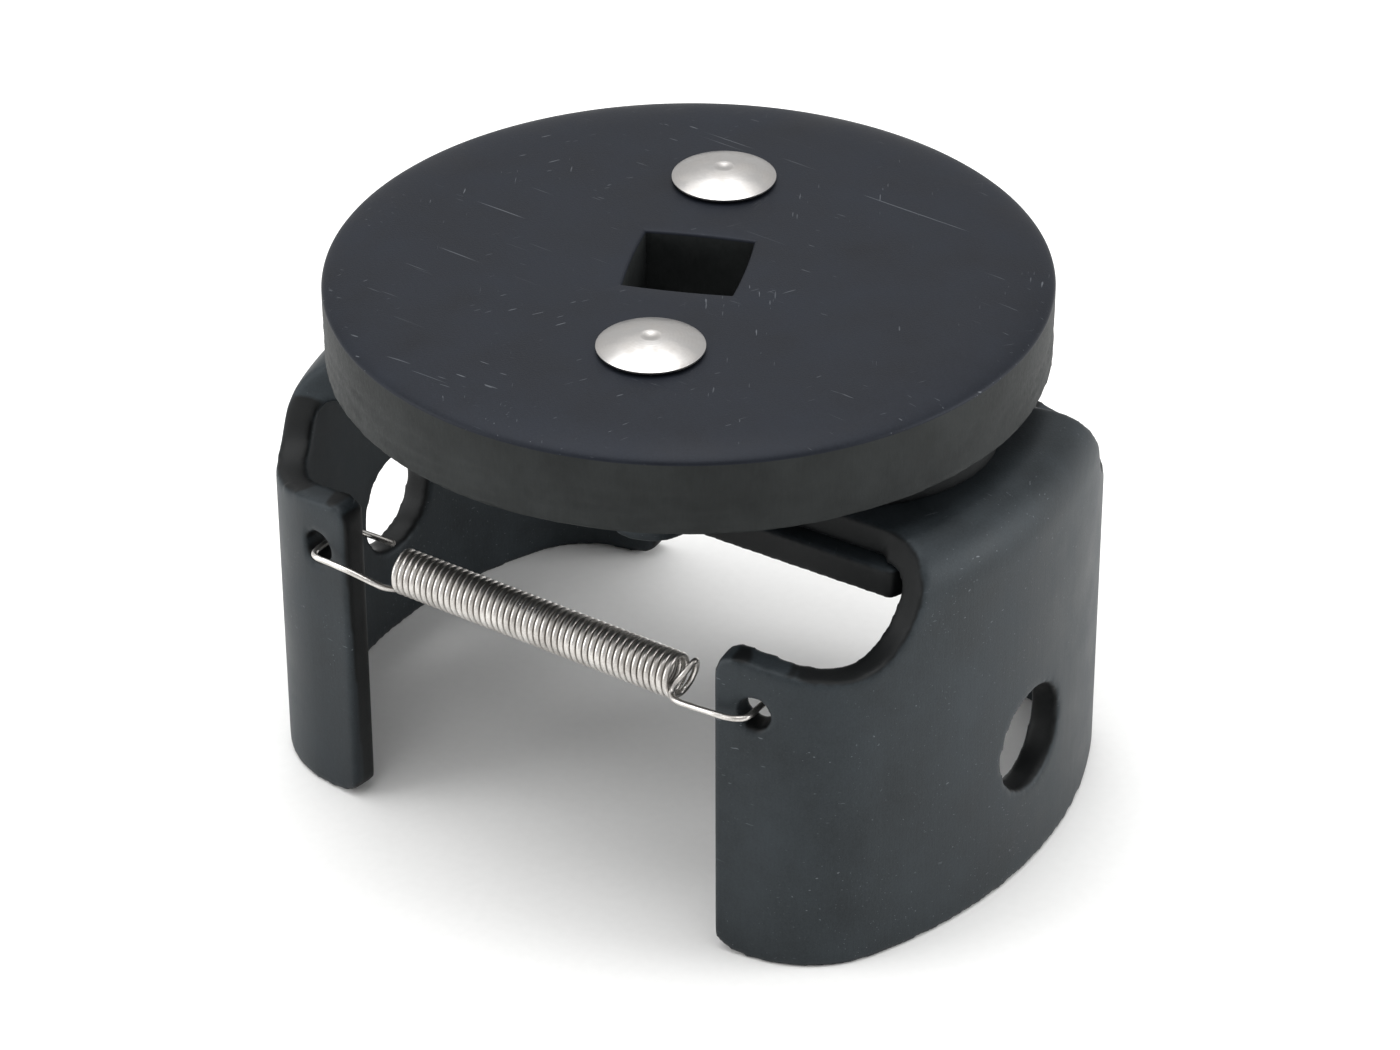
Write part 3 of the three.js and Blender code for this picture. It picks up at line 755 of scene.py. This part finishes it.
@dataclass
class DriveDisc:
    """The thick round drive disc with its bowed square hole."""

    radius: float = 42.3
    thickness: float = 10.4
    roll_across: float = 8.0
    roll_down: float = 1.6
    square: float = 12.9
    square_bow: float = 0.25
    square_ease: float = 0.35
    shiny_share: float = 0.36
    tear_depth: float = 0.12
    burr: float = 0.16
    shine_wander: float = 0.03
    lower_ease: float = 0.35
    tear_fade: float = 0.8
    lower_reach: float = 1.2
    rivet_offset: float = RIVET_OFFSET
    rivet_hole: float = 3.5
    drill_overshoot: float = 2.0
    drill_steps: int = 64
    steps: int = 384

    def square_ring(self, grow: float, height: float) -> np.ndarray:
        """A ring round the bowed square.

        Args:
            grow: How far the ring stands outside the hole's wall.
            height: Its height.

        Returns:
            Points in metres.
        """
        half = self.square / 2 + grow
        points = []
        for i in range(self.steps):
            angle = 2 * math.pi * i / self.steps
            quarter = round(angle / (math.pi / 2))
            lean = math.tan(angle - quarter * math.pi / 2)
            out = half + self.square_bow * (1 - lean**2)
            x, y = out, half * lean
            c, s = math.cos(quarter * math.pi / 2), math.sin(quarter * math.pi / 2)
            points.append(((c * x - s * y) * MM, (s * x + c * y) * MM, height * MM))
        return np.array(points)

    def round_ring(self, radius: float, height: float) -> np.ndarray:
        """A round ring at a radius and height, in metres."""
        angle = 2 * math.pi * np.arange(self.steps) / self.steps
        return np.stack(
            [radius * MM * np.cos(angle), radius * MM * np.sin(angle), np.full(self.steps, height * MM)], 1
        )

    def between(self, share: float, height: float, reach: float) -> np.ndarray:
        """A ring between the square's rim and a circle of radius reach."""
        square = self.square_ring(self.square_ease, height)
        return square * (1 - share) + self.round_ring(reach, height) * share

    def torn(self, ring: np.ndarray, depth: float, rng: np.random.Generator) -> np.ndarray:
        """Moves a ring of the side in and out a little, as torn steel stands."""
        angle = 2 * math.pi * np.arange(self.steps) / self.steps
        wave = sum(np.sin(k * angle + rng.uniform(0, 6.28)) / math.sqrt(k) for k in (7, 16, 31, 53, 90))
        wave = wave / np.abs(wave).max() * 0.5 + rng.normal(0, 0.18, self.steps)
        factor = 1 - depth / self.radius * (0.5 + np.clip(wave, -0.5, 0.5))
        moved = ring.copy()
        moved[:, :2] *= factor[:, None]
        return moved

    def mesh(self) -> bpy.types.Mesh:
        """The disc's closed mesh, with the cut faces marked."""
        rng = np.random.default_rng(SEED)
        top = DISC_TOP
        bottom = top - self.thickness
        flat = self.radius - self.roll_across
        ease = self.square_ease
        rings = [
            self.square_ring(ease * (1 - math.sin(a)), top - ease * (1 - math.cos(a)))
            for a in (0, math.pi / 6, math.pi / 3)
        ]
        wall = len(rings)
        rings += [self.square_ring(0, top - ease - (self.thickness - 2 * ease) * k / 4) for k in range(5)]
        rings += [
            self.square_ring(ease * (1 - math.cos(a)), bottom + ease * (1 - math.sin(a)))
            for a in (math.pi / 6, math.pi / 3, math.pi / 2)
        ]
        wall_end = len(rings)
        rings += [self.between(k / 8, bottom, self.radius - self.lower_reach) for k in range(1, 9)]
        rings.append(self.round_ring(self.radius - self.lower_ease, bottom))
        side = len(rings)
        rings.append(self.torn(self.round_ring(self.radius, bottom + 0.05), self.burr, rng))
        rings.append(self.torn(self.round_ring(self.radius, bottom + self.burr), self.burr, rng))
        side_top = top - self.roll_down
        shine = side_top - self.shiny_share * (side_top - bottom)
        for k in range(12):
            height = bottom + self.lower_ease + (shine - bottom - self.lower_ease) * k / 11
            fade = min(1.0, (shine - height) / self.tear_fade)
            depth = self.shine_wander + self.tear_depth * fade
            rings.append(self.torn(self.round_ring(self.radius, height), depth, rng))
        for k in range(1, 4):
            rings.append(self.round_ring(self.radius, shine + (side_top - shine) * k / 3))
        side_end = len(rings)
        for k in range(1, 17):
            angle = math.pi / 2 * k / 16
            radius = flat + self.roll_across * math.cos(angle)
            rings.append(self.round_ring(radius, side_top + self.roll_down * math.sin(angle)))
        rings += [self.between(1 - k / 10, top, flat) for k in range(1, 10)]
        mesh = closed_loft(rings, "drive_disc")
        for polygon in mesh.polygons:
            ring = polygon.index // self.steps
            cut = wall <= ring < wall_end - 3 or side <= ring < side_end - 1
            polygon.material_index = (Face.SHEARED if cut else Face.ROLLED).value
        return mesh

    def build(self, rolled: Any, sheared: Any) -> bpy.types.Object:
        """Builds and dresses the disc.

        Args:
            rolled: Finish of the flat faces and the rolled rim.
            sheared: Finish of the cut faces.

        Returns:
            The piece, riding on the drive head.
        """
        mesh = self.mesh()
        mesh.materials.append(rolled)
        mesh.materials.append(sheared)
        piece = new_piece("drive_disc_blank", mesh)
        drills = []
        for side in (1, -1):
            low = DISC_TOP - self.thickness - self.drill_overshoot
            high = DISC_TOP + self.drill_overshoot
            outline = [(0, low), (self.rivet_hole, low), (self.rivet_hole, high), (0, high)]
            bar = turned(outline, self.drill_steps, "drill")
            bar.transform(Matrix.Translation((0, side * self.rivet_offset * MM, 0)))
            bar.materials.append(rolled)
            drill = new_piece("drill", bar)
            drills.append(drill)
            modifier = piece.modifiers.new("rivet_hole", "BOOLEAN")
            modifier.object = drill
            modifier.operation = "DIFFERENCE"
            modifier.solver = "EXACT"
        piece.data = plain_mesh(piece)
        for drill in drills:
            bpy.data.objects.remove(drill)
        piece.data.set_sharp_from_angle(angle=math.radians(38))
        smooth_normals(piece)
        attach(piece, "drive_head")
        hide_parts("drive_disc")
        report(piece)
        return piece


@dataclass
class Rivet:
    """A rivet: spun domed head with a small dimple, shank and a tail spread or set flush."""

    label: str
    place: float
    flush: bool
    head_radius: float = 6.2
    head_height: float = 1.9
    rim_height: float = 0.62
    seat_gap: float = 0.25
    shank_radius: float = 3.2
    tail_radius: float = 5.4
    tail_height: float = 1.3
    tail_top: float = 43.35
    flush_radius: float = 4.3
    flush_low: float = 43.75
    flush_depth: float = 1.4
    tail_round: float = 0.9
    head_round: float = 0.3
    shoulder: float = 0.16
    disc_top: float = DISC_TOP
    dimple_radius: float = 1.25
    dimple_depth: float = 0.16
    steps: int = 96

    def tail(self) -> list[tuple[float, float]]:
        """The tail's half section, from its middle round to the shank."""
        if self.flush:
            low = self.flush_low
            return [(0.0, low), (self.flush_radius, low), (self.shank_radius, low + self.flush_depth)]
        low = self.tail_top - self.tail_height
        bend = self.tail_round
        points = [(0.0, low), (self.tail_radius - bend, low)]
        for k in range(1, 7):
            angle = math.pi / 2 * k / 6
            radius = self.tail_radius - bend + bend * math.sin(angle)
            points.append((radius, low + bend * (1 - math.cos(angle))))
        return [*points, (self.tail_radius, self.tail_top), (self.shank_radius, self.tail_top)]

    def profile(self) -> list[tuple[float, float]]:
        """The rivet's half section, from the tail's middle round to the head's middle."""
        points = self.tail()
        seat = self.disc_top + self.seat_gap
        bend = self.head_round
        points += [(self.shank_radius, seat), (self.head_radius - bend, seat)]
        rim = seat + self.rim_height - self.seat_gap
        for k in range(0, 5):
            angle = math.pi / 2 * k / 4
            radius = self.head_radius - bend + bend * math.sin(angle)
            points.append((radius, seat + bend * (1 - math.cos(angle))))
        top = self.disc_top + self.head_height
        # A shallow ball cap from the rim to the dimple's lip, with a rounded shoulder at the rim.
        for k in range(0, 22):
            across = 1 - k / 22 * (1 - self.dimple_radius / self.head_radius)
            crown = 1 - across**2
            shoulder = self.shoulder * (1 - across) ** 0.5 * across
            points.append((self.head_radius * across, rim + (top - rim) * min(1.0, crown + shoulder)))
        for k in range(0, 8):
            share = 1 - k / 8
            dip = 0.5 * (1 + math.cos(math.pi * share))
            height = top - self.dimple_depth * dip * 0.9 - 0.03 * (1 - share)
            points.append((self.dimple_radius * share, height))
        points.append((0.0, top - self.dimple_depth))
        return points

    def build(self, steel: Any) -> bpy.types.Object:
        """Builds and dresses the rivet.

        Args:
            steel: Its finish.

        Returns:
            The piece, riding on the drive head.
        """
        mesh = turned(self.profile(), self.steps, f"{self.label}_rivet_spun")
        places = np.empty(len(mesh.vertices) * 3)
        mesh.vertices.foreach_get("co", places)
        mesh.attributes.new("rivet_place", "FLOAT_VECTOR", "POINT").data.foreach_set("vector", places)
        mesh.transform(Matrix.Translation((0, self.place * MM, 0)))
        mesh.materials.append(steel)
        mesh.shade_smooth()
        mesh.set_sharp_from_angle(angle=math.radians(50))
        piece = new_piece(f"{self.label}_rivet_spun", mesh)
        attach(piece, "drive_head")
        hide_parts(f"{self.label}_rivet")
        report(piece)
        return piece


@dataclass
class ExtensionSpring:
    """One extension spring, wound and hooked from a single wire.

    In its own frame the spring runs along x from the hole where it starts, with y across, the
    outside of the jaws at negative y, and z up.
    """

    label: str
    turn_joint: str
    stretch_joint: str
    reach: float = 60.93
    wire_radius: float = 0.37
    coil_radius: float = 2.4
    coil_start: float = 11.0
    coil_end_gap: float = 10.9
    turns: int = 46
    steps_per_turn: int = 28
    lift: float = 1.7
    loop_squeeze: float = 0.9
    sides: int = 12

    def joint(self, name: str) -> dict[str, Any]:
        """The frame's joint of that name."""
        return next(j for j in frame["joints"] if j["name"] == name)

    def to_row(self) -> Matrix:
        """The matrix from the spring's frame, in millimetres, to the row frame."""
        along = Vector(self.joint(self.stretch_joint)["axis"]).normalized()
        up = Vector((0, 0, 1))
        across = up.cross(along)
        turn = Matrix((along, across, up)).transposed().to_4x4()
        start = Vector(self.joint(self.turn_joint)["pos_m"])
        return Matrix.Translation(start) @ turn @ Matrix.Scale(MM, 4)

    def near_hook(self) -> list[Vector]:
        """The hook at the start, from its tip inside the leg to the coil's first turn."""
        first = self.coil_start
        points = [
            (7.4, 3.0, 0.8),
            (4.0, 3.4, 0.4),
            (1.1, 3.5, 0.1),
            (0.1, 2.4, 0.0),
            (0.0, 0.0, 0.0),
            (0.1, -2.4, 0.0),
            (0.9, -3.4, 0.0),
            (3.0, -3.55, 0.0),
            (6.2, -3.5, -0.2),
            (first - 2.1, -3.0, -0.9),
            (first - 0.9, -2.0, -1.75),
        ]
        return [Vector(p) for p in points]

    def coil(self) -> list[Vector]:
        """The close-wound turns, from the bottom of the first to the bottom of the last."""
        length = self.reach - self.coil_end_gap - self.coil_start
        points = []
        for i in range(self.turns * self.steps_per_turn + 1):
            turn = i / self.steps_per_turn
            angle = -math.pi / 2 + 2 * math.pi * turn
            x = self.coil_start + length * turn / self.turns
            y = self.coil_radius * math.cos(angle)
            points.append(Vector((x, y, self.coil_radius * math.sin(angle))))
        return points

    def far_hook(self) -> list[Vector]:
        """The last half turn lifted into an open loop, and the hook through the far hole."""
        end = self.reach - self.coil_end_gap
        points = []
        for k in range(1, 5):
            angle = -math.pi / 2 + math.pi * k / 4.4
            lifted = self.lift * (k / 4) ** 1.3
            y = self.loop_squeeze * self.coil_radius * math.cos(angle)
            points.append(Vector((end + lifted, y, self.coil_radius * math.sin(angle))))
        far = self.reach
        crossing = [
            (end + 1.3, -0.7, 1.35),
            (end + 0.55, -1.5, 0.1),
            (end + 0.75, -2.5, -0.8),
            (end + 2.3, -3.3, -0.75),
            (far - 4.4, -3.65, -0.25),
            (far - 2.4, -3.55, -0.2),
            (far - 0.8, -3.3, 0.0),
            (far, -2.3, 0.0),
            (far, 0.0, 0.0),
            (far - 0.1, 2.4, 0.0),
            (far - 1.1, 3.5, 0.1),
            (far - 5.4, 3.3, 0.4),
        ]
        return points + [Vector(p) for p in crossing]

    def path(self) -> list[Vector]:
        """The whole wire's centreline in the spring's frame."""
        coil = self.coil()
        lead_in = catmull_rom([*self.near_hook(), coil[0], coil[4]], 8)
        lead_in = lead_in[: -(8 + 1)]
        lead_out = catmull_rom([coil[-5], coil[-1], *self.far_hook()], 8)[8:]
        return [*lead_in, *coil[:-1], *lead_out]

    def build(self, wire: Any) -> bpy.types.Object:
        """Builds the spring.

        Args:
            wire: Its finish.

        Returns:
            The piece, laid between the holes at its two ends; it rides on no body.
        """
        place = self.to_row()
        points = [place @ p for p in self.path()]
        mesh = bpy.data.meshes.new(f"{self.label}_spring")
        mesh.from_pydata(points, [(i, i + 1) for i in range(len(points) - 1)], [])
        piece = new_piece(f"{self.label}_spring", mesh)
        wire_tree().run(
            piece, {"Wire Radius": self.wire_radius * MM, "Sides": self.sides, "Material": wire}
        )
        outward(piece.data)
        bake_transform(piece)
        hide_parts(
            f"{self.label}_spring_coil",
            f"{self.label}_spring_near_hook",
            f"{self.label}_spring_far_hook",
        )
        report(piece)
        return piece


# --- Studio -------------------------------------------------------------------------


@dataclass
class SoftLight:
    """A square soft box."""

    name: str
    place: tuple[float, float, float]
    aim: tuple[float, float, float]
    size: float
    power: float

    def build(self) -> bpy.types.Object:
        """Adds the light."""
        lamp = bpy.data.lights.new(self.name, "AREA")
        lamp.size = self.size
        lamp.energy = self.power
        light = bpy.data.objects.new(self.name, lamp)
        light.location = self.place
        light.rotation_euler = (Vector(self.aim) - Vector(self.place)).to_track_quat("-Z", "Y").to_euler()
        bpy.context.scene.collection.objects.link(light)
        return light


@dataclass
class Studio:
    """White paper, soft light from all round and the camera."""

    floor_width: float = 6.0
    surround: float = 0.66
    focal_length: float = 128.57
    camera_place: tuple[float, float, float] = (105.16, -492.26, 347.12)
    camera_right: tuple[float, float, float] = (0.97883, 0.20463, -0.0031)
    camera_up: tuple[float, float, float] = (-0.10645, 0.52199, 0.84628)
    camera_back: tuple[float, float, float] = (0.1748, -0.82804, 0.53273)
    lights: list[SoftLight] = field(
        default_factory=lambda: [
            SoftLight("overhead_box", (-0.1, 0.1, 0.9), (0, 0, 0.04), 0.9, 8.5),
            SoftLight("left_box", (-0.9, -0.35, 0.35), (0, 0, 0.03), 0.6, 4.5),
            SoftLight("right_box", (0.85, 0.1, 0.3), (0, 0, 0.04), 0.5, 4.5),
        ]
    )

    def build(self) -> None:
        """Builds floor, light and camera."""
        scene = bpy.context.scene
        half = self.floor_width / 2
        mesh = bpy.data.meshes.new("paper")
        corners = [(-half, -half), (half, -half), (half, half), (-half, half)]
        mesh.from_pydata([(x, y, -0.02 * MM) for x, y in corners], [], [(0, 1, 2, 3)])
        mesh.materials.append(PaperFloor().build())
        new_piece("paper", mesh)
        world = bpy.data.worlds.new("studio_air")
        world.use_nodes = True
        world.node_tree.nodes.clear()
        air = add_node(
            world.node_tree, "ShaderNodeBackground", {"Color": (1, 1, 1, 1), "Strength": self.surround}
        )
        add_node(world.node_tree, "ShaderNodeOutputWorld", {"Surface": air.outputs[0]})
        scene.world = world
        scene.view_settings.view_transform = "Standard"
        for light in self.lights:
            light.build()
        scene.camera = self.camera()

    def camera(self) -> bpy.types.Object:
        """The camera, standing where it sees the wrench from the front and above."""
        lens = bpy.data.cameras.new("camera")
        lens.lens = self.focal_length
        lens.sensor_width = 36.0
        lens.clip_start = 0.01
        lens.clip_end = 20.0
        eye = bpy.data.objects.new("camera", lens)
        axes = (Vector(self.camera_right), Vector(self.camera_up), Vector(self.camera_back))
        turn = Matrix([axis.normalized() for axis in axes]).transposed().to_4x4()
        eye.matrix_world = Matrix.Translation(Vector(self.camera_place) * MM) @ turn
        bpy.context.scene.collection.objects.link(eye)
        return eye


def main() -> None:
    """Builds the wrench piece by piece, then the studio."""
    logging.basicConfig(level=logging.INFO, format="%(name)s %(message)s")
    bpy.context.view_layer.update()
    finishes = Finishes.made()
    DriveDisc().build(finishes.disc, finishes.disc_side)
    Rivet("rear", RIVET_OFFSET, flush=False).build(finishes.rivet)
    Rivet("front", -RIVET_OFFSET, flush=True).build(finishes.rivet)
    PressedPlate("spacer_plate", "drive_head", Slot.SPACER, PLATE).build(finishes.spacer)
    for side in ("right", "left"):
        PressedPlate(f"{side}_jaw", f"{side}_jaw_body", Slot.JAW, PLATE).build(finishes.jaw)
    for label in ("front", "rear"):
        ExtensionSpring(label, f"{label}_spring_turn", f"{label}_spring_stretch").build(finishes.spring)
    Studio().build()


if __name__ == "__main__":
    main()
